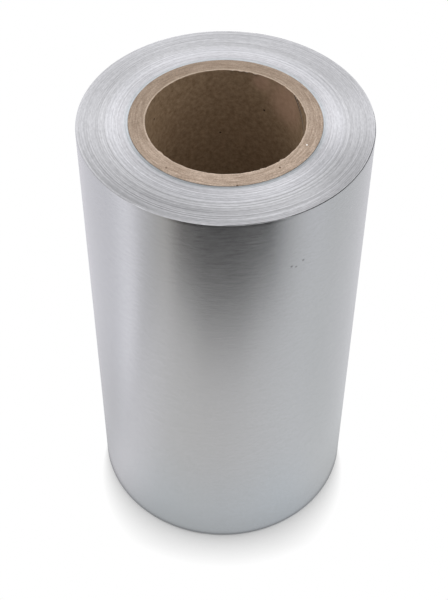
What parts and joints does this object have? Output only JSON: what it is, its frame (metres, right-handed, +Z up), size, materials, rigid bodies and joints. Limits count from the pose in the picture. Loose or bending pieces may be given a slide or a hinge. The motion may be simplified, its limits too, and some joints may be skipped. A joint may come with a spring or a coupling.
{
  "type": "heat seal foil roll",
  "caption": "Tall roll of thin aluminium heat seal foil, wound tightly on a thick-walled cardboard tube with an open bore, standing on its end.",
  "frame": {"origin": "on the roll's axis, at the lower end that the roll stands on", "axes": "+Z up along the roll's axis; +Y away from the viewer and +X to the viewer's right in the picture"},
  "size_m": [0.1419, 0.1417, 0.2511],
  "materials": {
    "kraft_board": "matt brown kraft paperboard",
    "rolled_aluminium_foil": "satin rolled foil"
  },
  "bodies": {
    "root": {"cardboard_core": "kraft_board", "foil_winding": "rolled_aluminium_foil"}
  },
  "joints": []
}
